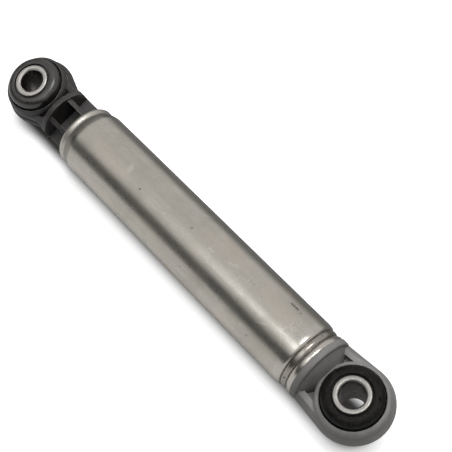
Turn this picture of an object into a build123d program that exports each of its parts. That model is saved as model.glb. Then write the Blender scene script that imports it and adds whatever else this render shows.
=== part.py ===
from build123d import *
import os
from math import acos, atan2, cos, degrees, hypot, sin

# A washing machine shock absorber: a ribbed plastic plunger slides in a rolled steel tube
# against two greased foam linings, and each end has an eye with a steel sleeve in rubber.
# It lies on its tube.  X runs along the tube from the plunger eye to the tube eye, Z is up,
# and the origin is on the floor, at the middle of the overall length.  Millimetres and degrees.

# Steel tube, with x counted from the centre of the tube eye
TUBE_RADIUS = 19.0
TUBE_WALL = 1.2
MOUTH_TO_EYE = 209.6
MOUTH_CROWN_DROP = 1.0
MOUTH_CORNER_RADIUS = 2.0
MOUTH_LIP_OVERHANG = 0.35
NECK_DROP = 1.5
NECK_SETBACK = 3.9
NECK_RISE_LENGTH = 2.9
NECK_RISE_DROP = 0.6
MOUTH_SHOULDER_LENGTH = 7.0

# Crimped end of the tube, rolled into two grooves of the tube eye
TUBE_END_TO_EYE = 24.5
OUTER_BEAD_LENGTH = 3.9
INNER_BEAD_LENGTH = 3.6
CRIMP_SHOULDER_LENGTH = 4.6
OUTER_GROOVE_DROP = 1.75
INNER_GROOVE_DROP = 1.05
BEAD_CROWN_DROP = 0.8
TUBE_END_DROP = 1.15
CRIMP_SHOULDER_CROWN_DROP = 0.3

# Sleeves and rubber bushes, the same at both ends
SLEEVE_BORE_RADIUS = 6.5
SLEEVE_WALL = 2.75
SLEEVE_LENGTH = 30.0
SLEEVE_CHAMFER = 0.7
BUSH_WALL = 6.7
BOND_GAP = 0.03
BUSH_SEAT_GAP = 0.04
BUSH_CREST_RECESS = 0.6
BUSH_CREST_WIDTH = 1.6
BUSH_MOAT_WIDTH = 0.7
BUSH_MOAT_DEPTH = 1.0
BUSH_BULGE_DROP = 3.4
BUSH_BULGE_FULLNESS = 0.7
BUSH_EDGE_STEP = 0.75

# Eyes
EYE_HALF_HEIGHT = 9.5
EYE_LIP_WALL = 0.4
EYE_LIP_CHAMFER = 0.95
EYE_LIP_DROP = 1.2
EYE_WALL = 1.75
TUBE_EYE_RIM_WALL = 4.3
PLUNGER_EYE_RIM_WALL = 3.2
EYE_RIM_HALF_HEIGHT = 0.8
TUBE_EYE_SHOULDER_HEIGHT = 5.2
PLUNGER_EYE_SHOULDER_HEIGHT = 6.2
EYE_RIB_WIDTH = 3.0
TUBE_EYE_POCKET_FLOOR = 1.2
PLUNGER_EYE_POCKET_FLOOR = 4.2
TUBE_EYE_TWIST = 17.4
PLUNGER_EYE_TWIST = 27.0

# Cap and spigot of the tube eye
CAP_LENGTH = 2.2
CAP_STEP = 0.75
CAP_EDGE_LENGTH = 1.1
CAP_EDGE_DROP = 1.8
CAP_FLANK_INSET = 0.5
DOME_TIP_TO_EYE = 14.2
DOME_HAUNCH_TO_EYE = 16.6
DOME_HAUNCH_RADIUS = 9.6
SPIGOT_LENGTH = 17.5
SPIGOT_WALL = 3.0
SPIGOT_END_WALL = 3.0
SPIGOT_RIB = 2.0
CRIMP_GAP = 0.05

# Guide bush and rebound ring in the mouth of the tube
GUIDE_WALL = 1.15
GUIDE_SEAT_GAP = 0.1
GUIDE_FRONT_SETBACK = 1.5
GUIDE_FLANGE_SETBACK = 13.2
GUIDE_FLANGE_LENGTH = 2.5
REBOUND_RING_LENGTH = 5.0
REBOUND_RING_WALL = 2.3

# Plunger, with x counted from the centre of its own eye
SHANK_RUNNING_GAP = 0.2
COLLAR_TO_EYE = 22.6
COLLAR_LENGTH = 2.8
COLLAR_LIP = 1.6
FLANK_REACH = 15.5
FLANK_BLEND_RADIUS = 4.0
FLANK_GROOVE_HEIGHT = 3.0
FLANK_GROOVE_WIDTH = 1.5
FLANK_GROOVE_DEPTH = 2.0
NECK_WEB_WIDTH = 12.0
NECK_WEB_HEIGHT = 10.0
NECK_HOLE_LENGTH = 2.0
NECK_HOLE_WIDTH = 3.4
SHANK_PLATE_SPACING = 14.3
SHANK_PLATE_THICKNESS = 2.4
SHANK_WEB_THICKNESS = 2.4
NIB_LENGTH = 2.0
NIB_HEIGHT = 2.4
NIB_STAND = 1.3
COLLAR_TO_MOUTH = 14.2
STROKE_OUT = 78.0
STROKE_END_GAP = 0.3

# Piston head and its two friction linings
HEAD_GAP = 0.3
HEAD_FLANGE_LENGTH = 3.0
SPOOL_DEPTH = 4.0
SPOOL_WALL = 2.6
SPOOL_RIB = 2.0
LINING_LENGTH = 18.0
LINING_SIDE_GAP = 0.2
LINING_FACE_GAP = 0.1
LINING_SLIT = 1.5

# Radii and places that follow from the sizes above
SLEEVE_RADIUS = SLEEVE_BORE_RADIUS + SLEEVE_WALL
BUSH_BORE_RADIUS = SLEEVE_RADIUS + BOND_GAP
BUSH_RADIUS = BUSH_BORE_RADIUS + BUSH_WALL
EYE_SEAT_RADIUS = BUSH_RADIUS + BUSH_SEAT_GAP
TUBE_BORE_RADIUS = TUBE_RADIUS - TUBE_WALL
GUIDE_RADIUS = TUBE_BORE_RADIUS - NECK_DROP - GUIDE_SEAT_GAP
GUIDE_BORE_RADIUS = GUIDE_RADIUS - GUIDE_WALL
MOUTH_OPENING_RADIUS = GUIDE_BORE_RADIUS + MOUTH_LIP_OVERHANG
SHANK_RADIUS = GUIDE_BORE_RADIUS - SHANK_RUNNING_GAP
COLLAR_RADIUS = SHANK_RADIUS + COLLAR_LIP
CAP_RADIUS = TUBE_RADIUS - TUBE_END_DROP + CAP_STEP
HEAD_RADIUS = TUBE_BORE_RADIUS - HEAD_GAP
SPOOL_RADIUS = HEAD_RADIUS - SPOOL_DEPTH
COLLAR_FACE = COLLAR_TO_EYE + COLLAR_LENGTH
MOUTH_FROM_PLUNGER_EYE = COLLAR_FACE + COLLAR_TO_MOUTH
GUIDE_END = GUIDE_FLANGE_SETBACK + GUIDE_FLANGE_LENGTH
REBOUND_FACE = GUIDE_END + REBOUND_RING_LENGTH
HEAD_START = MOUTH_FROM_PLUNGER_EYE + REBOUND_FACE + STROKE_OUT + STROKE_END_GAP
LINING_SLOT = LINING_LENGTH + 2 * LINING_SIDE_GAP
HEAD_PITCH = HEAD_FLANGE_LENGTH + LINING_SLOT
HEAD_END = HEAD_START + 2 * HEAD_PITCH + HEAD_FLANGE_LENGTH
EYE_SPAN = MOUTH_FROM_PLUNGER_EYE + MOUTH_TO_EYE

AXIS_HEIGHT = TUBE_RADIUS
OVERALL_LENGTH = EYE_SPAN + 2 * EYE_SEAT_RADIUS + TUBE_EYE_RIM_WALL + PLUNGER_EYE_RIM_WALL
TUBE_EYE_X = OVERALL_LENGTH / 2 - EYE_SEAT_RADIUS - TUBE_EYE_RIM_WALL
TUBE_UNIT = Pos(TUBE_EYE_X, 0, AXIS_HEIGHT) * Rot(X=TUBE_EYE_TWIST) * Rot(Z=180)
PLUNGER_UNIT = Pos(TUBE_EYE_X - EYE_SPAN, 0, AXIS_HEIGHT) * Rot(X=PLUNGER_EYE_TWIST)


def turned_about_tube(edges):
    """Solid of revolution about X from edges whose y is a radius."""
    return revolve(make_face(edges), Axis.X)


def section(points):
    """Straight edges through (radius, height) points."""
    return Polyline(*[(r, 0, z) for r, z in points]).edges()


def turned_about_eye(upper):
    """Solid of revolution about Z from the edges of its upper half, mirrored below."""
    lower = [mirror(edge, about=Plane.XY) for edge in upper]
    return revolve(make_face([*upper, *lower]), Axis.Z)


def disc(radius, start, end):
    """Round disc about X between two places along it."""
    blank = Cylinder(radius, end - start, align=(Align.CENTER, Align.CENTER, Align.MIN))
    return Pos(start, 0, 0) * Rot(Y=90) * blank


def ring(radius, bore, start, end):
    """Plain ring about X between two places along it."""
    return disc(radius, start, end) - disc(bore, start, end)


def block(start, end, width, height):
    """Block centred on X between two places along it."""
    blank = Box(end - start, width, height, align=(Align.MIN, Align.CENTER, Align.CENTER))
    return Pos(start, 0, 0) * blank


def crimp_edges(inset):
    """Profile of the crimped tube end from the plain tube outwards, set in by inset."""
    body = TUBE_RADIUS - inset
    outer_groove = TUBE_END_TO_EYE + OUTER_BEAD_LENGTH
    inner_groove = outer_groove + INNER_BEAD_LENGTH
    plain = inner_groove + CRIMP_SHOULDER_LENGTH
    start = (plain, body)
    inner = (inner_groove, body - INNER_GROOVE_DROP)
    outer = (outer_groove, body - OUTER_GROOVE_DROP)
    end = (TUBE_END_TO_EYE, body - TUBE_END_DROP)
    haunch = ((plain + inner_groove) / 2, body - CRIMP_SHOULDER_CROWN_DROP)
    inner_crown = ((inner_groove + outer_groove) / 2, body - BEAD_CROWN_DROP)
    outer_crown = ((outer_groove + TUBE_END_TO_EYE) / 2, body - BEAD_CROWN_DROP)
    arcs = [
        ThreePointArc(start, haunch, inner),
        ThreePointArc(inner, inner_crown, outer),
        ThreePointArc(outer, outer_crown, end),
    ]
    return arcs, start, end


def mouth_edges(inset):
    """Profile of the curled mouth from its lip to the plain tube, set in by inset."""
    body = TUBE_RADIUS - inset
    crown = (MOUTH_TO_EYE - MOUTH_CORNER_RADIUS, body - MOUTH_CROWN_DROP)
    corner = (MOUTH_TO_EYE - inset, TUBE_RADIUS - MOUTH_CROWN_DROP - MOUTH_CORNER_RADIUS)
    lip = (MOUTH_TO_EYE - inset, MOUTH_OPENING_RADIUS)
    neck_x = MOUTH_TO_EYE - NECK_SETBACK
    rise_x = neck_x - NECK_RISE_LENGTH
    end = (neck_x - MOUTH_SHOULDER_LENGTH, body)
    wave = Spline(
        crown,
        (neck_x, body - NECK_DROP),
        (rise_x, body - NECK_RISE_DROP),
        end,
        tangents=[(-1, 0), (-1, 0)],
    )
    return [Line(lip, corner), TangentArc(corner, crown, tangent=(0, 1)), wave], lip, end


def tube_wall_edges(inset):
    """Whole profile of one side of the tube wall, with its two end points."""
    mouth, lip, body_start = mouth_edges(inset)
    crimp, body_end, end = crimp_edges(inset)
    return [*mouth, Line(body_start, body_end), *crimp], lip, end


def make_tube():
    outside, outside_lip, outside_end = tube_wall_edges(0)
    inside, inside_lip, inside_end = tube_wall_edges(TUBE_WALL)
    lips = [Line(outside_lip, inside_lip), Line(outside_end, inside_end)]
    return turned_about_tube([*outside, *inside, *lips])


def make_cap_and_spigot():
    """Domed cap against the tube end, and the hollow spigot that the tube is rolled onto."""
    crimp, crimp_start, crimp_end = crimp_edges(TUBE_WALL + CRIMP_GAP)
    spigot_end = TUBE_END_TO_EYE + SPIGOT_LENGTH
    cap_back = TUBE_END_TO_EYE - CRIMP_GAP
    cap_front = cap_back - CAP_LENGTH
    edge = (cap_front - CAP_EDGE_LENGTH, CAP_RADIUS - CAP_EDGE_DROP)
    outline = Polyline(
        crimp_end,
        (cap_back, crimp_end[1]),
        (cap_back, CAP_RADIUS),
        (cap_front, CAP_RADIUS),
    )
    rounding = TangentArc((cap_front, CAP_RADIUS), edge, tangent=(-1, 0))
    dome = ThreePointArc(edge, (DOME_HAUNCH_TO_EYE, DOME_HAUNCH_RADIUS), (DOME_TIP_TO_EYE, 0))
    back = Polyline((DOME_TIP_TO_EYE, 0), (spigot_end, 0), (spigot_end, crimp_start[1]), crimp_start)
    body = turned_about_tube([*crimp, *outline.edges(), rounding, dome, *back.edges()])
    hollow_radius = crimp_end[1] - SPIGOT_WALL
    hollow_start = cap_back + SPIGOT_END_WALL
    hollow = disc(hollow_radius, hollow_start, spigot_end)
    ribs = block(hollow_start, spigot_end, 2 * hollow_radius, SPIGOT_RIB)
    ribs += block(hollow_start, spigot_end, SPIGOT_RIB, 2 * hollow_radius)
    return body - (hollow - ribs)


def eye_plan(rim_wall, reach, half_width):
    """Outline of an eye in its mid-plane: the rim circle with flanks tangent to it."""
    rim = EYE_SEAT_RADIUS + rim_wall
    turn = atan2(half_width, reach) + acos(rim / hypot(reach, half_width))
    tangent = (rim * cos(turn), rim * sin(turn))
    corners = [
        tangent,
        (reach, half_width),
        (reach, -half_width),
        (tangent[0], -tangent[1]),
    ]
    return Circle(rim) + make_face(Polyline(*corners, close=True))


def eye_flanks(plan, rim_wall, shoulder_height, pocket_floor):
    """Drafted body of an eye, thickest at the mid-plane, with a pocket inside its ribs."""
    shoulder_drop = rim_wall - EYE_WALL
    draft_height = shoulder_height - EYE_RIM_HALF_HEIGHT
    draft = degrees(atan2(shoulder_drop, draft_height))
    half = extrude(plan, EYE_RIM_HALF_HEIGHT)
    half += extrude(Pos(0, 0, EYE_RIM_HALF_HEIGHT) * plan, draft_height, taper=draft)
    pocket_plan = offset(plan, -(shoulder_drop + EYE_RIB_WIDTH))
    half -= extrude(Pos(0, 0, pocket_floor) * pocket_plan, shoulder_height)
    return half + mirror(half, about=Plane.XY)


def eye_ring(shoulder_height):
    """Ring round the rubber bush, with a chamfered lip that stands above the shoulder."""
    lip = EYE_SEAT_RADIUS + EYE_LIP_WALL
    foot = EYE_SEAT_RADIUS + EYE_WALL
    return turned_about_eye(section([
        (EYE_SEAT_RADIUS, 0),
        (EYE_SEAT_RADIUS, EYE_HALF_HEIGHT),
        (lip, EYE_HALF_HEIGHT),
        (lip + EYE_LIP_CHAMFER, EYE_HALF_HEIGHT - EYE_LIP_DROP),
        (foot, shoulder_height),
        (foot, 0),
    ]))


def eye_seat():
    """Bore of an eye that the rubber bush sits in."""
    return Cylinder(EYE_SEAT_RADIUS, 2 * SLEEVE_LENGTH)


def make_tube_eye():
    rim_wall = TUBE_EYE_RIM_WALL
    plan = eye_plan(rim_wall, TUBE_END_TO_EYE - CRIMP_GAP, CAP_RADIUS - CAP_FLANK_INSET)
    body = eye_flanks(plan, rim_wall, TUBE_EYE_SHOULDER_HEIGHT, TUBE_EYE_POCKET_FLOOR)
    body += make_cap_and_spigot()
    return body - eye_seat() + eye_ring(TUBE_EYE_SHOULDER_HEIGHT)


def make_sleeve():
    half = SLEEVE_LENGTH / 2
    return turned_about_eye(section([
        (SLEEVE_BORE_RADIUS, 0),
        (SLEEVE_BORE_RADIUS, half - SLEEVE_CHAMFER),
        (SLEEVE_BORE_RADIUS + SLEEVE_CHAMFER, half),
        (SLEEVE_RADIUS - SLEEVE_CHAMFER / 2, half),
        (SLEEVE_RADIUS, half - SLEEVE_CHAMFER / 2),
        (SLEEVE_RADIUS, 0),
    ]))


def make_bush():
    """Rubber bush with a moat round the sleeve and a bulging lip inside the eye's ring."""
    crest = SLEEVE_LENGTH / 2 - BUSH_CREST_RECESS
    moat = BUSH_BORE_RADIUS + BUSH_MOAT_WIDTH
    crest_end = moat + BUSH_CREST_WIDTH
    edge = BUSH_RADIUS - BUSH_EDGE_STEP
    inner = section([
        (BUSH_BORE_RADIUS, 0),
        (BUSH_BORE_RADIUS, crest - BUSH_MOAT_DEPTH),
        (moat, crest - BUSH_MOAT_DEPTH),
        (moat, crest),
        (crest_end, crest),
    ])
    outer = section([
        (edge, crest - BUSH_BULGE_DROP),
        (edge, EYE_HALF_HEIGHT - BUSH_EDGE_STEP),
        (BUSH_RADIUS, EYE_HALF_HEIGHT - 2 * BUSH_EDGE_STEP),
        (BUSH_RADIUS, 0),
    ])
    fullness = BUSH_BULGE_FULLNESS
    haunch = (crest_end + fullness * (edge - crest_end), crest - (1 - fullness) * BUSH_BULGE_DROP)
    bulge = ThreePointArc(
        (crest_end, 0, crest),
        (haunch[0], 0, haunch[1]),
        (edge, 0, crest - BUSH_BULGE_DROP),
    )
    return turned_about_eye([*inner, bulge, *outer])


def make_guide_bush():
    """Plastic bush that the shank runs in, held by the neck of the tube."""
    front = MOUTH_TO_EYE - GUIDE_FRONT_SETBACK
    flange_front = MOUTH_TO_EYE - GUIDE_FLANGE_SETBACK
    back = MOUTH_TO_EYE - GUIDE_END
    body = disc(GUIDE_RADIUS, back, front)
    body += disc(TUBE_BORE_RADIUS - GUIDE_SEAT_GAP, back, flange_front)
    return body - disc(GUIDE_BORE_RADIUS, back, front)


def make_rebound_ring():
    """Rubber ring that stops the piston head at full extension."""
    radius = TUBE_BORE_RADIUS - GUIDE_SEAT_GAP
    back = MOUTH_TO_EYE - REBOUND_FACE
    front = MOUTH_TO_EYE - GUIDE_END
    return ring(radius, radius - REBOUND_RING_WALL, back, front)


def flank_grooves(plan):
    """Two grooves that run round the drafted flanks, above and below the mid-plane."""
    band = plan - offset(plan, -FLANK_GROOVE_DEPTH)
    bottom = FLANK_GROOVE_HEIGHT - FLANK_GROOVE_WIDTH / 2
    groove = extrude(Pos(0, 0, bottom) * band, FLANK_GROOVE_WIDTH)
    return groove + mirror(groove, about=Plane.XY)


def plunger_eye_plan():
    """Outline of the plunger's eye, whose flanks end as wide as the shank."""
    straight = COLLAR_FACE - FLANK_REACH
    neck = Pos(FLANK_REACH + straight / 2, 0) * Rectangle(straight, 2 * SHANK_RADIUS)
    plan = eye_plan(PLUNGER_EYE_RIM_WALL, FLANK_REACH, SHANK_RADIUS) + neck
    near = FLANK_REACH - FLANK_GROOVE_DEPTH
    far = FLANK_REACH + FLANK_GROOVE_DEPTH
    return fillet(plan.vertices().filter_by_position(Axis.X, near, far), FLANK_BLEND_RADIUS)


def make_collar():
    """Collar that meets the mouth of the tube, with two flats as wide as the shank."""
    collar = disc(COLLAR_RADIUS, COLLAR_TO_EYE, COLLAR_FACE)
    return collar & block(COLLAR_TO_EYE, COLLAR_FACE, 2 * SHANK_RADIUS, 2 * COLLAR_RADIUS)


def neck_holes():
    """Two deep holes behind the collar, one on each side of the neck web."""
    hole = block(COLLAR_TO_EYE - NECK_HOLE_LENGTH, COLLAR_TO_EYE, NECK_HOLE_WIDTH, 2 * COLLAR_RADIUS)
    hole -= block(0, COLLAR_FACE, 2 * COLLAR_RADIUS, SHANK_WEB_THICKNESS)
    shift = (NECK_WEB_WIDTH + NECK_HOLE_WIDTH) / 2
    return Pos(0, shift, 0) * hole + Pos(0, -shift, 0) * hole


def make_plunger_eye():
    """Eye, neck web and collar of the plunger."""
    plan = plunger_eye_plan()
    rim_wall = PLUNGER_EYE_RIM_WALL
    body = eye_flanks(plan, rim_wall, PLUNGER_EYE_SHOULDER_HEIGHT, PLUNGER_EYE_POCKET_FLOOR)
    body -= flank_grooves(plan) + neck_holes()
    body += block(EYE_SEAT_RADIUS, COLLAR_TO_EYE, NECK_WEB_WIDTH, NECK_WEB_HEIGHT)
    body += make_collar()
    return body - eye_seat() + eye_ring(PLUNGER_EYE_SHOULDER_HEIGHT)


def make_shank():
    """Two plates joined by a web, inside the round envelope that the guide bush holds."""
    plates = block(COLLAR_TO_EYE, HEAD_START, 2 * SHANK_RADIUS, SHANK_WEB_THICKNESS)
    for side in (-1, 1):
        plate = block(COLLAR_TO_EYE, HEAD_START, SHANK_PLATE_THICKNESS, 2 * SHANK_RADIUS)
        plates += Pos(0, side * SHANK_PLATE_SPACING / 2, 0) * plate
    return plates & disc(SHANK_RADIUS, COLLAR_TO_EYE, HEAD_START)


def make_nib():
    """Moulded nib on one flat of the collar."""
    depth = NIB_STAND + SHANK_WEB_THICKNESS
    blank = Box(NIB_LENGTH, depth, NIB_HEIGHT, align=(Align.MAX, Align.MIN, Align.CENTER))
    return Pos(COLLAR_FACE, -SHANK_RADIUS - NIB_STAND, 0) * blank


def make_piston_head():
    """Three flanges on a hollow ribbed spool, with a slot for a lining between each two."""
    head = disc(SPOOL_RADIUS, HEAD_START, HEAD_END)
    for count in range(3):
        start = HEAD_START + count * HEAD_PITCH
        head += disc(HEAD_RADIUS, start, start + HEAD_FLANGE_LENGTH)
    hollow_radius = SPOOL_RADIUS - SPOOL_WALL
    hollow_start = HEAD_START + HEAD_FLANGE_LENGTH
    hollow = disc(hollow_radius, hollow_start, HEAD_END)
    hollow -= block(hollow_start, HEAD_END, 2 * hollow_radius, SPOOL_RIB)
    hollow -= block(hollow_start, HEAD_END, SPOOL_RIB, 2 * hollow_radius)
    return head - hollow


def make_plunger():
    return make_plunger_eye() + make_shank() + make_nib() + make_piston_head()


def make_lining(count):
    """Foam strip bent round the spool, with a slit where its ends meet."""
    start = HEAD_START + HEAD_FLANGE_LENGTH + LINING_SIDE_GAP + count * HEAD_PITCH
    end = start + LINING_LENGTH
    bore = SPOOL_RADIUS + LINING_FACE_GAP
    strip = ring(TUBE_BORE_RADIUS - LINING_FACE_GAP, bore, start, end)
    slit = Pos(0, 0, -TUBE_RADIUS) * block(start, end, LINING_SLIT, 2 * TUBE_RADIUS)
    return strip - slit


def write(name, unit, part):
    placed = unit * part
    placed.label = name
    export_step(placed, f"parts/{name}.step")


os.makedirs("parts", exist_ok=True)
write("tube", TUBE_UNIT, make_tube())
write("tube_eye", TUBE_UNIT, make_tube_eye())
write("tube_eye_bush", TUBE_UNIT, make_bush())
write("tube_eye_sleeve", TUBE_UNIT, make_sleeve())
write("guide_bush", TUBE_UNIT, make_guide_bush())
write("rebound_ring", TUBE_UNIT, make_rebound_ring())
write("plunger", PLUNGER_UNIT, make_plunger())
write("plunger_eye_bush", PLUNGER_UNIT, make_bush())
write("plunger_eye_sleeve", PLUNGER_UNIT, make_sleeve())
write("front_lining", PLUNGER_UNIT, make_lining(0))
write("rear_lining", PLUNGER_UNIT, make_lining(1))
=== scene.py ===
from math import atan2, cos, hypot, pi, radians, sin

import bpy
from mathutils import Matrix, Vector


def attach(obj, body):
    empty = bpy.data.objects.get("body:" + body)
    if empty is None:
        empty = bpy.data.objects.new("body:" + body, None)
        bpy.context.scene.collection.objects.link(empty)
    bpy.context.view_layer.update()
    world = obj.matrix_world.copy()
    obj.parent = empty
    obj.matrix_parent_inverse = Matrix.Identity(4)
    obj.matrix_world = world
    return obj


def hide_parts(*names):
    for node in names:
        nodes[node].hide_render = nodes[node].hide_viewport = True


# Washing machine shock absorber.  Metres, in the frame of the solids: X runs along the
# tube from the plunger eye to the tube eye, and Z is up.  Outlines are in millimetres.

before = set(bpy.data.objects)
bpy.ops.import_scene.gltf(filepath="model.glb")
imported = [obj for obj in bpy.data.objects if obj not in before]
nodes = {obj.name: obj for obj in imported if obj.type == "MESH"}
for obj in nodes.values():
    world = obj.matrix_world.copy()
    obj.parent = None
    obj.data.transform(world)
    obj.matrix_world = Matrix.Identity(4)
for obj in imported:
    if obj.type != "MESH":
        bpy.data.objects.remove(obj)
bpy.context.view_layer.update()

MM = 0.001
AXIS_HEIGHT = 19.0 * MM
TUBE_EYE_X = 124.05 * MM
PLUNGER_EYE_X = -125.15 * MM
TUBE_EYE_TWIST = radians(17.4)
PLUNGER_EYE_TWIST = radians(27.0)
ABOUT_TUBE_EYE = (
    Matrix.Translation((TUBE_EYE_X, 0, AXIS_HEIGHT))
    @ Matrix.Rotation(TUBE_EYE_TWIST, 4, "X")
    @ Matrix.Rotation(pi, 4, "Z")
)
ABOUT_PLUNGER_EYE = (
    Matrix.Translation((PLUNGER_EYE_X, 0, AXIS_HEIGHT))
    @ Matrix.Rotation(PLUNGER_EYE_TWIST, 4, "X")
)
ALONG_TUBE = Matrix.Translation((TUBE_EYE_X, 0, AXIS_HEIGHT)) @ Matrix.Rotation(-pi / 2, 4, "Y")


# Shaping helpers

SAME_POINT = 0.001 * MM
SLIVER = 0.004 * MM
FLAT_ENOUGH = radians(0.5)
SHARP_WHEN_TURNED = radians(25)
SHARP_WHEN_MOULDED = radians(28)
SMOOTH_BELOW = radians(30)


def select_only(*pieces):
    """Selects these pieces and nothing else, and makes the last one active."""
    bpy.ops.object.select_all(action="DESELECT")
    for piece in pieces:
        piece.select_set(True)
        bpy.context.view_layer.objects.active = piece


def open_mesh():
    """Edit mode on the active piece, with all of its mesh selected."""
    bpy.ops.object.mode_set(mode="EDIT")
    bpy.ops.mesh.select_all(action="SELECT")


def close_mesh():
    bpy.ops.object.mode_set(mode="OBJECT")


def arc_through(start, middle, end, count):
    """Points of the arc from start through middle to end, without start itself."""
    (ax, ay), (bx, by), (cx, cy) = start, middle, end
    d = 2 * (ax * (by - cy) + bx * (cy - ay) + cx * (ay - by))
    a2, b2, c2 = ax * ax + ay * ay, bx * bx + by * by, cx * cx + cy * cy
    ox = (a2 * (by - cy) + b2 * (cy - ay) + c2 * (ay - by)) / d
    oy = (a2 * (cx - bx) + b2 * (ax - cx) + c2 * (bx - ax)) / d
    radius = hypot(ax - ox, ay - oy)
    first = atan2(ay - oy, ax - ox)
    half = atan2(by - oy, bx - ox) - first
    whole = atan2(cy - oy, cx - ox) - first
    half = (half + pi) % (2 * pi) - pi
    whole = (whole + pi) % (2 * pi) - pi
    if half * whole < 0:
        whole += 2 * pi if half > 0 else -2 * pi
    angles = [first + whole * i / count for i in range(1, count + 1)]
    return [(ox + radius * cos(angle), oy + radius * sin(angle)) for angle in angles]


def eased(start, start_slope, end, end_slope, count):
    """Points of a smooth run between two (radius, place) points with the slopes given there."""
    (r0, z0), (r1, z1) = start, end
    span = z1 - z0
    points = []
    for i in range(1, count + 1):
        t = i / count
        r = (
            (2 * t**3 - 3 * t**2 + 1) * r0
            + (t**3 - 2 * t**2 + t) * span * start_slope
            + (3 * t**2 - 2 * t**3) * r1
            + (t**3 - t**2) * span * end_slope
        )
        points.append((r, z0 + span * t))
    return points


def upside_down(outline):
    """An outline mirrored in its mid-plane, in the order that carries on from the original."""
    return [(r, -z) for r, z in reversed(outline)]


def turned(name, outline, place, steps):
    """A closed outline of (radius, height) points in millimetres, spun about the height."""
    select_only()
    bpy.ops.mesh.primitive_plane_add(size=MM)
    piece = bpy.context.object
    piece.name = name
    open_mesh()
    bpy.ops.mesh.merge(type="CENTER")
    radius, height = outline[0]
    bpy.ops.transform.translate(value=(radius * MM, 0, height * MM))
    for next_radius, next_height in [*outline[1:], outline[0]]:
        step = ((next_radius - radius) * MM, 0, (next_height - height) * MM)
        bpy.ops.mesh.extrude_region_move(TRANSFORM_OT_translate={"value": step})
        radius, height = next_radius, next_height
    bpy.ops.mesh.select_all(action="SELECT")
    bpy.ops.mesh.remove_doubles(threshold=SAME_POINT)
    bpy.ops.mesh.spin(steps=steps, angle=2 * pi, center=(0, 0, 0), axis=(0, 0, 1))
    bpy.ops.mesh.select_all(action="SELECT")
    bpy.ops.mesh.remove_doubles(threshold=SAME_POINT)
    bpy.ops.mesh.normals_make_consistent(inside=False)
    close_mesh()
    piece.matrix_world = place
    bpy.ops.object.transform_apply(location=True, rotation=True, scale=True)
    return piece


def drop_slivers():
    """Merges points that a bevel or a cut left on one another."""
    open_mesh()
    bpy.ops.mesh.remove_doubles(threshold=SLIVER)
    bpy.ops.mesh.dissolve_degenerate(threshold=SLIVER)
    close_mesh()


def round_edges(piece, width, segments, sharp=SHARP_WHEN_TURNED, is_turned=True):
    """Rounds every edge sharper than the given angle and shades the rest smooth."""
    select_only(piece)
    bevel = piece.modifiers.new("rounding", "BEVEL")
    bevel.width = width * MM
    bevel.segments = segments
    bevel.limit_method = "ANGLE"
    bevel.angle_limit = sharp
    bpy.ops.object.modifier_apply(modifier=bevel.name)
    if is_turned:
        drop_slivers()
    bpy.ops.object.shade_smooth_by_angle(angle=SMOOTH_BELOW)


def copy_of(name, node):
    """A merged copy of a node's own mesh."""
    piece = bpy.data.objects.new(name, nodes[node].data.copy())
    bpy.context.scene.collection.objects.link(piece)
    select_only(piece)
    open_mesh()
    bpy.ops.mesh.remove_doubles(threshold=SAME_POINT)
    close_mesh()
    if piece.data.has_custom_normals:
        bpy.ops.mesh.customdata_custom_splitnormals_clear()
    return piece


# Steel tube: radii, and places measured from the tube eye's axis towards the mouth

TUBE_RADIUS = 19.0
TUBE_WALL = 1.2
MOUTH = 209.6
MOUTH_OPENING = 15.4
CURL_RADIUS = 18.0
CURL_CORNER = 2.0
NECK_RADIUS, NECK = 17.5, 205.7
RISE_RADIUS, RISE, RISE_SLOPE = 18.4, 202.8, -0.26
BODY_END = 198.7
CRIMP_START = 35.6
# The crimp's arcs: how deep below the body and where each has its middle, the same for
# its end, and its number of steps.
CRIMP_ARCS = (
    ((0.07, 34.3), (0.28, 33.0), 8),     # the shoulder
    ((0.68, 32.35), (1.2, 31.9), 8),     # its sharp edge
    ((1.38, 31.6), (1.2, 31.3), 6),      # the narrow groove
    ((0.98, 30.95), (0.95, 30.5), 6),    # up onto the first bead
    ((1.08, 29.3), (1.55, 28.5), 10),    # over it
    ((1.8, 28.2), (1.5, 27.85), 6),      # the second groove
    ((0.8, 26.4), (1.15, 24.5), 14),     # the last bead
)


def mouth_line(inset):
    """The mouth: an inward lip, a curled corner, a neck and the rise to the body."""
    corner = CURL_CORNER - inset * 0.6
    lip = (MOUTH_OPENING, MOUTH - inset)
    foot = (CURL_RADIUS - inset - corner, MOUTH - inset)
    crown = (CURL_RADIUS - inset, MOUTH - inset - corner)
    turn = (crown[0] - corner * (1 - sin(pi / 4)), foot[1] - corner * (1 - cos(pi / 4)))
    neck = (NECK_RADIUS - inset, NECK)
    rise = (RISE_RADIUS - inset, RISE)
    points = [lip, foot, *arc_through(foot, turn, crown, 8)]
    points += eased(crown, 0, neck, 0, 10)
    points += eased(neck, 0, rise, RISE_SLOPE, 8)
    points += eased(rise, RISE_SLOPE, (TUBE_RADIUS - inset, BODY_END), 0, 10)
    return points


def crimp_line(inset):
    """The crimped end: a sharp shoulder, a narrow groove, two beads with a groove between."""
    body = TUBE_RADIUS - inset
    start = (body, CRIMP_START)
    points = [start]
    for (middle_depth, middle), (end_depth, end), steps in CRIMP_ARCS:
        next_start = (body - end_depth, end)
        points += arc_through(start, (body - middle_depth, middle), next_start, steps)
        start = next_start
    return points


def make_steel_tube():
    outside = mouth_line(0) + crimp_line(0)
    inside = mouth_line(TUBE_WALL) + crimp_line(TUBE_WALL)
    piece = turned("steel_tube", outside + inside[::-1], ALONG_TUBE, 192)
    round_edges(piece, 0.16, 3)
    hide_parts("tube")
    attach(piece, "tube_unit")
    return piece


# Sleeves and rubber bushes

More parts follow.
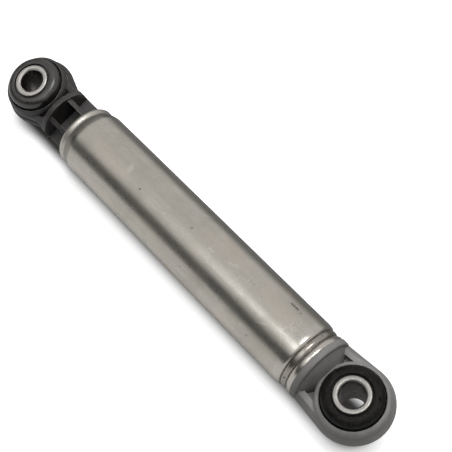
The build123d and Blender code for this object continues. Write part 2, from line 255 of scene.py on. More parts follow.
SLEEVE_HALF = 15.0
SLEEVE_BORE = 6.5
BUSH_BORE = 9.28
BUSH_RADIUS = 15.98
MOAT_RADIUS, MOAT_FLOOR = 10.3, 12.9
DIMPLE_PLACE = Vector((134.6, 2.6, 34.65))
DIMPLE_FACING = Vector((0.21, -0.14, 0.97))
DIMPLE_STRETCH = (0.8, 1.45, 1.0, 1.0)


def make_sleeve(name, node, place, body):
    upper = [(SLEEVE_BORE, 14.3), (7.2, SLEEVE_HALF), (8.9, SLEEVE_HALF), (9.25, 14.65)]
    piece = turned(name, upper + upside_down(upper), place, 128)
    round_edges(piece, 0.12, 2)
    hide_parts(node)
    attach(piece, body)
    return piece


def make_bush(name, node, place, body):
    """A rubber bush: a moat round the sleeve, a rounded lip and a bulge down to the eye."""
    wall_top, lip, shoulder = (MOAT_RADIUS, 14.1), (10.75, 14.45), (15.23, 11.0)
    upper = [(BUSH_BORE, MOAT_FLOOR), (MOAT_RADIUS, MOAT_FLOOR), wall_top]
    upper += arc_through(wall_top, (10.42, 14.36), lip, 6)
    upper += arc_through(lip, (13.75, 13.6), shoulder, 16)
    upper += [(15.23, 8.75), (BUSH_RADIUS, 8.0)]
    piece = turned(name, upper + upside_down(upper), place, 144)
    round_edges(piece, 0.07, 2)
    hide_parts(node)
    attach(piece, body)
    return piece


def cut_dimple(piece):
    """A plain oval dimple in the bulge, left by the rubber's mould."""
    facing = DIMPLE_FACING.normalized().to_track_quat("Z", "Y").to_matrix().to_4x4()
    place = Matrix.Translation(DIMPLE_PLACE * MM) @ facing @ Matrix.Diagonal(DIMPLE_STRETCH)
    outline = [(0, 0.9), (1.25, 0.9), (1.2, 0.1), (1.0, -0.45), (0.6, -0.8), (0, -0.9)]
    cutter = turned("dimple", outline, place, 48)
    select_only(piece)
    cut = piece.modifiers.new("dimple", "BOOLEAN")
    cut.operation = "DIFFERENCE"
    cut.solver = "EXACT"
    cut.object = cutter
    bpy.ops.object.modifier_apply(modifier=cut.name)
    drop_slivers()
    bpy.ops.object.shade_smooth_by_angle(angle=SMOOTH_BELOW)
    bpy.data.objects.remove(cutter)


# Mouldings

def make_moulding(name, node, body):
    piece = copy_of(name, node)
    open_mesh()
    bpy.ops.mesh.dissolve_limited(angle_limit=FLAT_ENOUGH)
    close_mesh()
    round_edges(piece, 0.215, 2, SHARP_WHEN_MOULDED, is_turned=False)
    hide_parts(node)
    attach(piece, body)
    return piece


def add_lip_bands(piece):
    """The rounded band that rings the rubber on both faces of the grey eye."""
    crown, foot = (16.35, 9.5), (18.42, 6.05)
    upper = [(16.03, 9.28), (16.12, 9.5), crown, *arc_through(crown, (17.72, 8.32), foot, 14)]
    upper += [(18.36, 5.8), (18.1, 5.62), (17.5, 5.55), (16.03, 5.5)]
    bands = []
    for outline in (upper, upside_down(upper)):
        bands.append(turned("lip_band", outline, ABOUT_TUBE_EYE, 160))
        bpy.ops.object.shade_smooth_by_angle(angle=SMOOTH_BELOW)
    select_only(*bands, piece)
    bpy.ops.object.join()


steel_tube = make_steel_tube()
grey_eye_sleeve = make_sleeve(
    "grey_eye_sleeve", "tube_eye_sleeve", ABOUT_TUBE_EYE, "tube_sleeve"
)
black_eye_sleeve = make_sleeve(
    "black_eye_sleeve", "plunger_eye_sleeve", ABOUT_PLUNGER_EYE, "plunger_sleeve"
)
grey_eye_rubber = make_bush("grey_eye_rubber", "tube_eye_bush", ABOUT_TUBE_EYE, "tube_unit")
cut_dimple(grey_eye_rubber)
black_eye_rubber = make_bush(
    "black_eye_rubber", "plunger_eye_bush", ABOUT_PLUNGER_EYE, "plunger_unit"
)
grey_moulding = make_moulding("grey_moulding", "tube_eye", "tube_unit")
add_lip_bands(grey_moulding)
black_moulding = make_moulding("black_moulding", "plunger", "plunger_unit")


# Shader helpers

FLOAT, VECTOR = "NodeSocketFloat", "NodeSocketVector"
WHITE = (1, 1, 1)


def even(level):
    """A colour without a hue."""
    return (level, level, level)


class Nodes:
    """Adds nodes to one node tree and links them."""

    def __init__(self, tree):
        self.tree = tree

    def add(self, kind, **settings):
        node = self.tree.nodes.new(kind)
        inputs = settings.pop("inputs", {})
        for key, value in settings.items():
            setattr(node, key, value)
        for key, value in inputs.items():
            self.feed(node, key, value)
        return node

    def feed(self, node, key, value):
        """Links a socket to an input, or sets the input to a value or a colour's three levels."""
        socket = node.inputs[key]
        if isinstance(value, bpy.types.NodeSocket):
            self.tree.links.new(value, socket)
        elif socket.type == "RGBA":
            socket.default_value = (*value, 1)
        else:
            socket.default_value = value

    def math(self, operation, a, b=0.0, clamp=False):
        inputs = {0: a, 1: b}
        node = self.add("ShaderNodeMath", operation=operation, use_clamp=clamp, inputs=inputs)
        return node.outputs[0]

    def times(self, a, b, clamp=False):
        return self.math("MULTIPLY", a, b, clamp)

    def plus(self, a, b):
        return self.math("ADD", a, b)

    def minus(self, a, b):
        return self.math("SUBTRACT", a, b)

    def with_shares(self, value, *others):
        """A value with others added to it, each given with its share."""
        for other, share in others:
            value = self.plus(value, self.times(other, share))
        return value

    def diagonal(self, a, b):
        """The length of the diagonal of a rectangle of a by b."""
        squares = self.plus(self.math("POWER", a, 2.0), self.math("POWER", b, 2.0))
        return self.math("SQRT", squares)

    def parts(self, vector):
        return self.add("ShaderNodeSeparateXYZ", inputs={"Vector": vector}).outputs

    def vector(self, x, y=0.0):
        return self.add("ShaderNodeCombineXYZ", inputs={0: x, 1: y}).outputs[0]

    def object_coords(self):
        return self.add("ShaderNodeTexCoord").outputs["Object"]

    def local_coords(self, coords, location, rotation):
        """Coordinates seen from a place that is moved and turned as given."""
        inputs = {"Vector": coords, "Location": location, "Rotation": rotation}
        return self.add("ShaderNodeMapping", vector_type="TEXTURE", inputs=inputs).outputs[0]

    def noise(self, vector, scale, detail=3.0, roughness=0.55, stretch=None):
        if stretch is not None:
            inputs = {"Vector": vector, "Scale": stretch}
            vector = self.add("ShaderNodeMapping", inputs=inputs).outputs[0]
        inputs = {"Vector": vector, "Scale": scale, "Detail": detail, "Roughness": roughness}
        return self.add("ShaderNodeTexNoise", inputs=inputs).outputs["Fac"]

    def cells(self, vector, scale, feature="F1"):
        inputs = {"Vector": vector, "Scale": scale}
        return self.add("ShaderNodeTexVoronoi", feature=feature, inputs=inputs).outputs

    def ramp(self, value, low, high, to_low=0.0, to_high=1.0, smooth=False):
        """Turns low to high into to_low to to_high, and stays there beyond them."""
        kind = "SMOOTHSTEP" if smooth else "LINEAR"
        inputs = {"Value": value, "From Min": low, "From Max": high}
        inputs.update({"To Min": to_low, "To Max": to_high})
        node = self.add("ShaderNodeMapRange", interpolation_type=kind, inputs=inputs)
        return node.outputs["Result"]

    def band(self, value, low, high, edge):
        """One between low and high, fading to nothing over edge on both sides."""
        rise = self.ramp(value, low - edge, low, smooth=True)
        fall = self.ramp(value, high, high + edge, 1.0, 0.0, smooth=True)
        return self.times(rise, fall)

    def mix(self, factor, a, b):
        """Colour a where factor is nothing, b where it is one."""
        inputs = {0: factor, 6: a, 7: b}
        return self.add("ShaderNodeMix", data_type="RGBA", inputs=inputs).outputs[2]

    def mix_values(self, factor, a, b):
        inputs = {0: factor, 2: a, 3: b}
        return self.add("ShaderNodeMix", data_type="FLOAT", inputs=inputs).outputs[0]

    def cover(self, colour, *layers):
        """Lays tints over a colour in turn, each given as where it lies, its share and tint."""
        for mask, share, tint in layers:
            colour = self.mix(self.times(mask, share), colour, tint)
        return colour

    def use(self, group, coords, **inputs):
        """The outputs of a shared effect, whose inputs are named with _ for a space."""
        node = self.add("ShaderNodeGroup", node_tree=group, inputs={"Coordinates": coords})
        for key, value in inputs.items():
            self.feed(node, key.replace("_", " "), value)
        return node.outputs

    def mask(self, group, coords, **inputs):
        return self.use(group, coords, **inputs)["Mask"]


class Finish(Nodes):
    """A material with the nodes that feed its shader, whose even values are given."""

    def __init__(self, name, **values):
        self.material = bpy.data.materials.new(name)
        self.material.use_nodes = True
        super().__init__(self.material.node_tree)
        self.surface = self.tree.nodes["Principled BSDF"]
        for key, value in values.items():
            self.feed(self.surface, key.replace("_", " "), value)

    def show(self, colour, roughness, height, strength, depth):
        """Feeds the shader its colour, roughness and relief of a depth in millimetres."""
        inputs = {"Height": height, "Strength": strength, "Distance": depth * MM}
        relief = self.add("ShaderNodeBump", inputs=inputs).outputs[0]
        self.feed(self.surface, "Base Color", colour)
        self.feed(self.surface, "Roughness", roughness)
        self.feed(self.surface, "Normal", relief)
        return self.material


# Shared effects, whose sizes are in millimetres

def new_group(name, inputs, outputs):
    """A shader node group with coordinates and named numbers in and named numbers out."""
    tree = bpy.data.node_groups.new(name, "ShaderNodeTree")
    tree.interface.new_socket("Coordinates", in_out="INPUT", socket_type=VECTOR)
    for label, default in inputs.items():
        socket = tree.interface.new_socket(label, in_out="INPUT", socket_type=FLOAT)
        socket.default_value = default
    for label in outputs:
        tree.interface.new_socket(label, in_out="OUTPUT", socket_type=FLOAT)
    made = Nodes(tree)
    return made, made.add("NodeGroupInput").outputs, made.add("NodeGroupOutput")


def make_grain_group():
    """Fine moulded grain: a height and a shade that vary at one size."""
    tree, given, out = new_group("moulded grain", {"Size": 0.4}, ("Height", "Shade"))
    scale = tree.math("DIVIDE", 1 / MM, given["Size"])
    fine = tree.noise(given["Coordinates"], scale, 2.0, 0.6)
    broad = tree.noise(given["Coordinates"], tree.times(scale, 0.23), 2.0, 0.5)
    height = tree.with_shares(tree.times(fine, 0.7), (broad, 0.3))
    tree.feed(out, "Height", height)
    tree.feed(out, "Shade", tree.ramp(height, 0.35, 0.65))
    return tree.tree


def make_scratch_group():
    """Hairline scratches in two directions, broken up so that they start and stop."""
    inputs = {"Spacing": 6.0, "Amount": 0.5}
    tree, given, out = new_group("hairline scratches", inputs, ("Mask",))
    scale = tree.math("DIVIDE", 1 / MM, given["Spacing"])
    masks = []
    for turn, stretch in (((0.3, 0.5, 0.25), (0.09, 1, 1)), ((1.1, -0.4, -0.6), (1, 0.07, 1))):
        inputs = {"Vector": given["Coordinates"], "Rotation": turn, "Scale": stretch}
        drawn_out = tree.add("ShaderNodeMapping", inputs=inputs).outputs[0]
        from_edge = tree.cells(drawn_out, scale, "DISTANCE_TO_EDGE")["Distance"]
        line = tree.ramp(from_edge, 0.0, 0.012, 1.0, 0.0)
        patches = tree.noise(given["Coordinates"], tree.times(scale, 0.9), 1.0)
        threshold = tree.minus(1.0, given["Amount"])
        masks.append(tree.times(line, tree.math("GREATER_THAN", patches, threshold)))
    tree.feed(out, "Mask", tree.math("MAXIMUM", *masks))
    return tree.tree


def make_speck_group():
    """Small scattered specks and pits of uneven size."""
    inputs = {"Spacing": 3.0, "Amount": 0.5}
    tree, given, out = new_group("scattered specks", inputs, ("Mask",))
    scale = tree.math("DIVIDE", 1 / MM, given["Spacing"])
    cells = tree.cells(given["Coordinates"], scale)
    chance = tree.add("ShaderNodeSeparateColor", inputs={"Color": cells["Color"]}).outputs
    reach = tree.times(tree.math("POWER", chance["Red"], 3.0), 0.16)
    spot = tree.ramp(tree.minus(cells["Distance"], reach), -0.03, 0.02, 1.0, 0.0)
    picked = tree.math("LESS_THAN", chance["Green"], given["Amount"])
    tree.feed(out, "Mask", tree.times(spot, picked, clamp=True))
    return tree.tree


def make_edge_group():
    """Worn edges with a painted highlight: where the surface turns sharply within a width, broken
    up by noise.
    """
    inputs = {"Width": 0.5, "Patch Size": 3.0}
    tree, given, out = new_group("worn and lit edges", inputs, ("Mask",))
    radius = tree.times(given["Width"], MM)
    rounded = tree.add("ShaderNodeBevel", samples=6, inputs={"Radius": radius}).outputs[0]
    flat = tree.add("ShaderNodeNewGeometry").outputs["Normal"]
    inputs = {0: rounded, 1: flat}
    turn = tree.add("ShaderNodeVectorMath", operation="DOT_PRODUCT", inputs=inputs)
    edge = tree.ramp(turn.outputs["Value"], 0.99, 0.86, 0.0, 1.0)
    scale = tree.math("DIVIDE", 1 / MM, given["Patch Size"])
    patches = tree.noise(given["Coordinates"], scale, 3.0, 0.6)
    tree.feed(out, "Mask", tree.times(edge, tree.ramp(patches, 0.38, 0.62), clamp=True))
    return tree.tree


GRAIN = make_grain_group()
SCRATCHES = make_scratch_group()
SPECKS = make_speck_group()
WORN_AND_LIT_EDGES = make_edge_group()


# Finishes

def from_tube_eye(distance):
    """The X of a place on the tube this many millimetres from the tube eye's axis."""
    return TUBE_EYE_X - distance * MM


def eye_coords(tree, place):
    """Object coordinates in an eye's own frame, and the radius and height about its bore."""
    location, rotation = tuple(place.to_translation()), tuple(place.to_euler())
    local = tree.local_coords(tree.object_coords(), location, rotation)
    x, y, height = tree.parts(local)
    return local, tree.diagonal(x, y), height


def tube_band(tree, x, near, far, edge):
    """A ring of the tube between two distances from the tube eye's axis, in millimetres."""
    return tree.band(x, from_tube_eye(far), from_tube_eye(near), edge * MM)


def scuff_mask(tree, coords, start, end, width):
    """A ragged dark rub on the tube's upper side between two (x, y) places, in millimetres."""
    (x0, y0), (x1, y1) = start, end
    middle = ((x0 + x1) / 2 * MM, (y0 + y1) / 2 * MM, 2 * AXIS_HEIGHT)
    local = tree.local_coords(coords, middle, (0, 0, atan2(y1 - y0, x1 - x0)))
    lengthwise, sideways, above = tree.parts(local)
    half = hypot(x1 - x0, y1 - y0) / 2 * MM
    lengthwise, sideways = tree.math("ABSOLUTE", lengthwise), tree.math("ABSOLUTE", sideways)
    along = tree.ramp(lengthwise, half * 0.6, half, 1.0, 0.0, smooth=True)
    across = tree.ramp(sideways, width * 0.3 * MM, width * MM, 1.0, 0.0, smooth=True)
    upper = tree.math("GREATER_THAN", above, -AXIS_HEIGHT)
    spread = tree.times(tree.times(along, across), upper)
    ragged = tree.ramp(tree.noise(coords, 900.0, 3.0, 0.7), 0.32, 0.48)
    return tree.times(spread, ragged, clamp=True)


def make_tube_steel():
    """Drawn steel with cloudy patches, rolled rings, grooves darkened by stain and painted shade,
    and a soiled neck.
    """
    tree = Finish("satin zinc steel", Metallic=1.0)
    coords = tree.object_coords()
    x = tree.parts(coords)[0]
    fine = tree.noise(coords, 1500.0, 3.0, 0.6, stretch=(0.02, 1, 1))
    streaks = tree.noise(coords, 260.0, 3.0, 0.55, stretch=(0.05, 1, 1))
    cloud = tree.noise(coords, 62.0, 5.0, 0.62)
    warm = tree.noise(coords, 70.0, 3.0, 0.5, stretch=(0.5, 1, 1))
    mottle = tree.noise(coords, 420.0, 3.0, 0.6, stretch=(0.35, 1, 1))
    rings = tree.noise(tree.vector(x), 2600.0, 3.0, 0.7)
    groove_patchiness = tree.noise(coords, 700.0, 3.0, 0.6)
    crimp = tube_band(tree, x, 24.0, 36.0, 1.5)
    curl = tree.ramp(x, from_tube_eye(201.0), from_tube_eye(204.0), smooth=True)
    rolled = tree.math("MAXIMUM", crimp, curl)
    rolled_bead = tube_band(tree, x, 28.8, 31.0, 0.5)
    neck = tube_band(tree, x, 201.0, 204.4, 1.6)
    narrow_groove = tube_band(tree, x, 31.35, 31.85, 0.3)
    second_groove = tube_band(tree, x, 28.0, 28.4, 0.3)
    grooves = tree.math("MAXIMUM", narrow_groove, second_groove)
    # The two crimp grooves are darkened: partly stain, partly painted shade for their narrow dark
    # lines.
    groove_stain_and_shade = tree.times(grooves, tree.ramp(groove_patchiness, 0.25, 0.55, 0.35, 1.0))
    long_scuff = scuff_mask(tree, coords, (71.2, 5.2), (77.7, 5.1), 0.95)
    short_scuff = scuff_mask(tree, coords, (78.5, 4.5), (79.6, 4.5), 0.6)
    specks = tree.mask(SPECKS, coords, Spacing=4.5, Amount=0.3)
    scratches = tree.mask(SCRATCHES, coords, Spacing=9.0, Amount=0.42)
    worn_and_lit_edges = tree.mask(WORN_AND_LIT_EDGES, coords, Width=0.5, Patch_Size=2.5)
    tone = tree.ramp(tree.with_shares(tree.times(fine, 0.45), (streaks, 0.55)), 0.34, 0.66)
    colour = tree.cover(
        tree.mix(tone, (0.425, 0.402, 0.361), (0.507, 0.483, 0.437)),
        (tree.ramp(cloud, 0.42, 0.66), 0.5, (0.36, 0.335, 0.292)),
        (tree.ramp(warm, 0.48, 0.64), 0.5, (0.515, 0.462, 0.405)),
        (rolled, tree.ramp(rings, 0.42, 0.6, 0.0, 0.4), (0.62, 0.60, 0.57)),
        (rolled_bead, 0.55, (0.20, 0.175, 0.155)),
        (neck, 0.6, (0.13, 0.12, 0.105)),
        (specks, 0.7, (0.13, 0.11, 0.09)),
        (scratches, 0.35, (0.72, 0.70, 0.67)),
        # Pale edges: part wear, part painted highlight.
        (worn_and_lit_edges, 0.4, (0.70, 0.68, 0.65)),
        # Stain and painted shade in the crimp grooves.
        (groove_stain_and_shade, 0.85, (0.085, 0.062, 0.052)),
        (tree.math("MAXIMUM", long_scuff, short_scuff), 0.85, (0.09, 0.08, 0.07)),
    )
    uneven = tree.plus(
        tree.ramp(cloud, 0.3, 0.7, 0.24, 0.31), tree.ramp(mottle, 0.3, 0.7, -0.02, 0.03)
    )
    rough = tree.with_shares(uneven, (groove_stain_and_shade, 0.25), (specks, 0.3), (crimp, -0.03), (curl, 0.16))
    height = tree.with_shares(
        tree.times(fine, 0.2),
        (mottle, 0.22),
        (tree.times(rings, rolled), 1.2),
        (specks, -0.8),
        (scratches, -0.5),
    )
    return tree.show(colour, rough, height, strength=0.17, depth=0.03)


def make_sleeve_steel(name, place, tone):
    """Turned steel with a dark bore, lighter or darker by the given tone, which is painted light
    and shade.
    """
    tree = Finish(name, Metallic=1.0)
    local, radius, height_along = eye_coords(tree, place)
    rings = tree.noise(tree.vector(radius, height_along), 4200.0, 3.0, 0.7)
    cloud = tree.noise(local, 260.0, 4.0, 0.6)
    specks = tree.mask(SPECKS, local, Spacing=1.0, Amount=0.5)
    scratches = tree.mask(SCRATCHES, local, Spacing=2.2, Amount=0.5)
    worn_and_lit_edges = tree.mask(WORN_AND_LIT_EDGES, local, Width=0.35, Patch_Size=1.6)
    bore = tree.ramp(radius, (SLEEVE_BORE + 0.02) * MM, (SLEEVE_BORE + 0.1) * MM, 1.0, 0.0)
    # The tone scales these colours as painted light and shade.
    dark = (0.36 * tone, 0.34 * tone, 0.32 * tone)
    light = (0.58 * tone, 0.56 * tone, 0.53 * tone)
    colour = tree.cover(
        tree.mix(tree.ramp(rings, 0.35, 0.65), dark, light),
        (tree.ramp(cloud, 0.45, 0.7), 0.5, (0.40, 0.38, 0.35)),
        (bore, 0.75, (0.10, 0.092, 0.085)),
        (specks, 0.5, (0.15, 0.12, 0.10)),
        (scratches, 0.5, (0.75, 0.73, 0.70)),
        # Pale edges: part wear, part painted highlight.
        (worn_and_lit_edges, 0.5, (0.80, 0.79, 0.77)),
    )
    rough = tree.with_shares(tree.ramp(cloud, 0.3, 0.7, 0.30, 0.42), (bore, -0.05))
    height = tree.with_shares(rings, (specks, -0.6))
    return tree.show(colour, rough, height, strength=0.4, depth=0.02)


def make_grey_moulding():
    """Moulded grey plastic, with the cap toward the crimp painted darker as painted shade."""
    tree = Finish("grey moulding", IOR=1.46)
    coords = tree.object_coords()
    x = tree.parts(coords)[0]
    grain = tree.use(GRAIN, coords, Size=0.45)
    flow = tree.noise(coords, 120.0, 4.0, 0.6)
    scratches = tree.mask(SCRATCHES, coords, Spacing=5.0, Amount=0.45)
    specks = tree.mask(SPECKS, coords, Spacing=2.2, Amount=0.3)
    worn_and_lit_edges = tree.mask(WORN_AND_LIT_EDGES, coords, Width=0.45, Patch_Size=2.0)
    # Painted shade: the cap toward the crimp is painted darker.
    painted_cap_shade = tree.ramp(x, from_tube_eye(20.0), from_tube_eye(10.0), 1.0, 0.0, smooth=True)
    colour = tree.cover(
        tree.mix(tree.ramp(flow, 0.35, 0.7), (0.163, 0.157, 0.153), (0.226, 0.217, 0.211)),
        (grain["Shade"], 0.25, (0.125, 0.123, 0.120)),
        (specks, 0.35, even(0.06)),
        (scratches, 0.3, (0.34, 0.335, 0.33)),
        # Pale edges: part wear, part painted highlight.
        (worn_and_lit_edges, 0.5, (0.36, 0.355, 0.35)),
        # The cap's painted shade.
        (painted_cap_shade, 0.45, (0.095, 0.094, 0.092)),
    )
    rough = tree.with_shares(tree.ramp(flow, 0.3, 0.7, 0.42, 0.54), (worn_and_lit_edges, -0.08))
    height = tree.with_shares(grain["Height"], (scratches, -0.4))
    return tree.show(colour, rough, height, strength=0.5, depth=0.04)


def make_black_moulding():
    """Moulded black plastic with fibres near its surface, and pale edges that are part wear and
    part painted highlight.
    """
    tree = Finish("black moulding", IOR=1.5)
    coords = tree.object_coords()
    grain = tree.use(GRAIN, coords, Size=0.35)
    flow = tree.noise(coords, 150.0, 4.0, 0.6)
    fibres = tree.noise(coords, 1100.0, 2.0, 0.6, stretch=(0.12, 1, 1))
    worn_and_lit_edges = tree.mask(WORN_AND_LIT_EDGES, coords, Width=0.55, Patch_Size=2.5)
    specks = tree.mask(SPECKS, coords, Spacing=1.6, Amount=0.5)
    scratches = tree.mask(SCRATCHES, coords, Spacing=4.0, Amount=0.47)
    dark, light = (0.0145, 0.0130, 0.0125), (0.027, 0.0243, 0.0233)
    colour = tree.cover(
        tree.mix(tree.ramp(flow, 0.35, 0.7), dark, light),
        (tree.ramp(fibres, 0.55, 0.75), 0.35, (0.055, 0.054, 0.052)),
        (specks, 0.4, (0.11, 0.105, 0.10)),
        (scratches, 0.4, (0.10, 0.098, 0.095)),
        # Pale edges: part wear, part painted highlight.
        (worn_and_lit_edges, 0.75, (0.19, 0.182, 0.174)),
    )
    rough = tree.ramp(flow, 0.3, 0.7, 0.38, 0.5)
    height = tree.with_shares(grain["Height"], (fibres, 0.4))
    return tree.show(colour, rough, height, strength=0.5, depth=0.04)


def make_rubber(name, place, dark, light, gloss, low_rough, high_rough):
    """Warm black rubber between two levels, with dust, specks and faint turned rings."""
    tree = Finish(name, IOR=1.5, Specular_IOR_Level=gloss)
    local, radius, height_along = eye_coords(tree, place)
    grain = tree.use(GRAIN, local, Size=0.5)
    rings = tree.noise(tree.vector(radius, height_along), 1500.0, 2.0, 0.6)
    bloom = tree.noise(local, 190.0, 4.0, 0.6)
    dust = tree.noise(local, 620.0, 4.0, 0.65)
    specks = tree.mask(SPECKS, local, Spacing=1.2, Amount=0.5)
    worn_and_lit_edges = tree.mask(WORN_AND_LIT_EDGES, local, Width=0.6, Patch_Size=1.8)
    tones = [(level, level * 0.93, level * 0.86) for level in (dark, light)]
    colour = tree.cover(
        tree.mix(tree.ramp(bloom, 0.4, 0.7), *tones),
        (tree.ramp(dust, 0.52, 0.72), 0.4, (0.040, 0.032, 0.026)),
        (specks, 0.6, (0.10, 0.086, 0.072)),
        # Pale edges: part wear, part painted highlight.
        (worn_and_lit_edges, 0.7, (0.070, 0.063, 0.057)),
    )
    rough = tree.ramp(bloom, 0.3, 0.7, low_rough, high_rough)
    height = tree.with_shares(grain["Height"], (rings, 0.8))
    return tree.show(colour, rough, height, strength=0.45, depth=0.05)


def make_guide_plastic():
    """Natural plastic with greasy patches."""
    tree = Finish("guide plastic", IOR=1.5)
    coords = tree.object_coords()
    grain = tree.use(GRAIN, coords, Size=0.5)
    grease = tree.noise(coords, 210.0, 4.0, 0.6)
    colour = tree.mix(tree.ramp(grease, 0.45, 0.65), (0.60, 0.59, 0.54), (0.42, 0.37, 0.27))
    rough = tree.ramp(grease, 0.4, 0.7, 0.42, 0.2)
    return tree.show(colour, rough, grain["Height"], strength=0.4, depth=0.03)


def make_lining_foam():
    """Dark open foam with grease on it."""
    tree = Finish("greased foam", IOR=1.4)
    coords = tree.object_coords()
    pores = tree.cells(coords, 1400.0)["Distance"]
    grease = tree.noise(coords, 320.0, 4.0, 0.6)
    colour = tree.cover(
        tree.mix(tree.ramp(pores, 0.1, 0.6), (0.035, 0.030, 0.022), (0.135, 0.118, 0.085)),
        (tree.ramp(grease, 0.45, 0.65), 0.6, (0.20, 0.16, 0.09)),
    )
    rough = tree.ramp(grease, 0.4, 0.65, 0.75, 0.3)
    return tree.show(colour, rough, pores, strength=0.8, depth=0.15)


def dress(piece, finish):
    piece.data.materials.clear()
    piece.data.materials.append(finish)


dress(steel_tube, make_tube_steel())
# One steel for both sleeves: the grey eye's is painted darker as painted shade, the black eye's
# lighter as painted light.
dress(grey_eye_sleeve, make_sleeve_steel("grey eye sleeve steel", ABOUT_TUBE_EYE, 0.72))
dress(black_eye_sleeve, make_sleeve_steel("black eye sleeve steel", ABOUT_PLUNGER_EYE, 1.15))
# One rubber for both bushes: the grey eye's is painted darker and less glossy as painted shade,
# the black eye's lighter and glossier as painted light.
dress(grey_eye_rubber, make_rubber(
    "grey eye rubber", ABOUT_TUBE_EYE,
    dark=0.003, light=0.008, gloss=0.12, low_rough=0.38, high_rough=0.54,
))
dress(black_eye_rubber, make_rubber(
    "black eye rubber", ABOUT_PLUNGER_EYE,
    dark=0.009, light=0.025, gloss=0.75, low_rough=0.21, high_rough=0.33,
))
dress(grey_moulding, make_grey_moulding())
dress(black_moulding, make_black_moulding())

# The pieces inside the tube keep their own meshes and only take a finish.
rebound_rubber = make_rubber(
    "rebound rubber", ALONG_TUBE,
    dark=0.008, light=0.018, gloss=0.3, low_rough=0.40, high_rough=0.55,
)
guide_plastic = make_guide_plastic()
lining_foam = make_lining_foam()
for node, finish in (
    ("guide_bush", guide_plastic),
    ("rebound_ring", rebound_rubber),
    ("front_lining", lining_foam),
    ("rear_lining", lining_foam),
):
    for slot in nodes[node].material_slots:
        slot.material = finish


# Camera, floor and light

PHOTO_PIXELS = 452
FOCAL_PIXELS = 1072.2
SENSOR_WIDTH = 36.0
CAMERA_PLACE = Vector((232.77, -233.10, 466.57))
CAMERA_RIGHT = Vector((0.65685848, 0.74789495, 0.09586488))
CAMERA_DOWN = Vector((0.63994004, -0.4857206, -0.5954429))
CAMERA_FORWARD = Vector((-0.39876519, 0.4524695, -0.79765762))


def make_camera():
    data = bpy.data.cameras.new("view")
    data.sensor_fit = "HORIZONTAL"
    data.sensor_width = SENSOR_WIDTH
    data.lens = SENSOR_WIDTH * FOCAL_PIXELS / PHOTO_PIXELS
    camera = bpy.data.objects.new("view", data)
    turn = Matrix((CAMERA_RIGHT, -CAMERA_DOWN, -CAMERA_FORWARD)).transposed()
    camera.matrix_world = Matrix.Translation(CAMERA_PLACE * MM) @ turn.to_4x4()
    bpy.context.scene.collection.objects.link(camera)
    bpy.context.scene.camera = camera


FLOOR_RADIUS = 3.0
FLOOR_DROP = 0.05 * MM
FLOOR_WHITE = 0.62
FLOOR_IN_REFLECTIONS = 0.05
HALF_LENGTH = 0.125


def make_floor():
    """A pale floor that glows, with a painted shadow round the object and a painted dark
    reflection on its far side, and that hardly shows in the steel.
    """
    select_only()
    bpy.ops.mesh.primitive_circle_add(
        vertices=64, radius=FLOOR_RADIUS, fill_type="NGON", location=(0, 0, -FLOOR_DROP)
    )
    floor = bpy.context.object
    floor.name = "floor"
    tree = Finish("pale floor", Roughness=0.9, Specular_IOR_Level=0.0, Emission_Color=WHITE)
    path = tree.add("ShaderNodeLightPath").outputs
    x, y, _ = tree.parts(tree.object_coords())
    past_end = tree.math("MAXIMUM", tree.minus(tree.math("ABSOLUTE", x), HALF_LENGTH), 0.0)
    from_axis = tree.diagonal(past_end, tree.math("ABSOLUTE", y))
    # Painted shadow round the object: close to its axis the floor is painted darker and its glow
    # fades out.
    outside_painted_shadow = tree.ramp(from_axis, 0.008, 0.011, smooth=True)
    away = tree.ramp(from_axis, 0.009, 0.017, smooth=True)
    # Painted dark reflection: for glossy rays the floor's far side is painted dark.
    far_side_painted_reflection = tree.times(tree.ramp(y, 0.026, 0.05, smooth=True), path["Is Glossy Ray"])
    near_side = tree.times(tree.minus(1.0, far_side_painted_reflection), path["Is Glossy Ray"])
    # The floor painted darker close to the object, as a painted shadow.
    pale = tree.mix(outside_painted_shadow, (0.26, 0.25, 0.235), even(0.62))
    colour = tree.mix(path["Is Camera Ray"], even(0.55), pale)
    colour = tree.mix(path["Is Diffuse Ray"], colour, even(0.32))
    # The far side's painted dark reflection.
    tree.feed(tree.surface, "Base Color", tree.mix(far_side_painted_reflection, colour, even(0.16)))
    glow = tree.ramp(from_axis, 0.35, 1.4, FLOOR_WHITE, 1.0, smooth=True)
    # The glow fades near the object as a painted shadow.
    seen = tree.times(tree.times(path["Is Camera Ray"], away), glow)
    emission = tree.with_shares(seen, (near_side, FLOOR_IN_REFLECTIONS))
    tree.feed(tree.surface, "Emission Strength", emission)
    below = tree.add("ShaderNodeNewGeometry").outputs["Backfacing"]
    hidden = tree.times(below, path["Is Camera Ray"])
    tree.feed(tree.surface, "Alpha", tree.minus(1.0, hidden))
    floor.data.materials.append(tree.material)


SKY_LIGHT = 0.55
SKY_IN_REFLECTIONS = 0.85


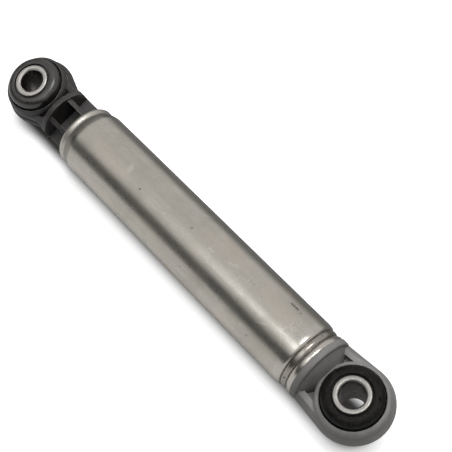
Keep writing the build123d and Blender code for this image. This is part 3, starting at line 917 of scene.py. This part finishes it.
def make_world():
    """White for the camera, soft light from above, and for reflections a sky with panels.

    The reflected sky is given by its rise about X from the near horizon, at 0 degrees, to
    the far one, at 180: dark low on the near side, dimmer low on the far side and at the
    mouth's end, with a broad panel on the near side and a bright one overhead.
    """
    world = bpy.data.worlds.new("studio")
    world.use_nodes = True
    world.node_tree.nodes.clear()
    tree = Nodes(world.node_tree)
    x, y, z = tree.parts(tree.add("ShaderNodeTexCoord").outputs["Generated"])
    rise = tree.math("ARCTAN2", z, tree.times(y, -1.0))
    near = tree.ramp(rise, radians(28), radians(40), 0.13, 1.0, smooth=True)
    far = tree.ramp(rise, radians(157), radians(178), 1.0, 0.4, smooth=True)
    mouth_side = tree.ramp(x, -0.92, -0.66, 0.25, 1.0, smooth=True)
    level = tree.times(tree.times(near, far), mouth_side)
    near_panel = tree.times(
        tree.band(x, -0.30, 0.42, 0.08), tree.band(rise, radians(54), radians(66), radians(7))
    )
    top_panel = tree.times(
        tree.band(x, 0.10, 0.28, 0.10), tree.band(rise, radians(84), radians(98), radians(8))
    )
    panels = tree.with_shares(tree.times(near_panel, 1.5), (top_panel, 9.0))
    reflected = tree.times(tree.plus(level, panels), SKY_IN_REFLECTIONS)
    lighting = tree.times(tree.ramp(z, 0.0, 0.9, 0.12, 1.0, smooth=True), SKY_LIGHT)
    path = tree.add("ShaderNodeLightPath").outputs
    strength = tree.mix_values(path["Is Glossy Ray"], lighting, reflected)
    plain = tree.math("MAXIMUM", path["Is Camera Ray"], path["Is Transmission Ray"])
    strength = tree.mix_values(plain, strength, 1.0)
    inputs = {"Color": WHITE, "Strength": strength}
    back = tree.add("ShaderNodeBackground", inputs=inputs)
    tree.add("ShaderNodeOutputWorld", inputs={0: back.outputs[0]})
    bpy.context.scene.world = world


def make_lamp(name, place, size, power):
    """A round lamp that faces the object and doesn't show in reflections."""
    data = bpy.data.lights.new(name, "AREA")
    data.shape = "DISK"
    data.size = size
    data.energy = power
    lamp = bpy.data.objects.new(name, data)
    facing = (-Vector(place)).to_track_quat("-Z", "Y").to_matrix().to_4x4()
    lamp.matrix_world = Matrix.Translation(place) @ facing
    lamp.visible_glossy = False
    bpy.context.scene.collection.objects.link(lamp)


make_camera()
bpy.context.scene.view_settings.view_transform = "Standard"
make_floor()
make_world()
make_lamp("soft lamp overhead", place=(-0.12, 0.10, 1.2), size=1.0, power=17.0)
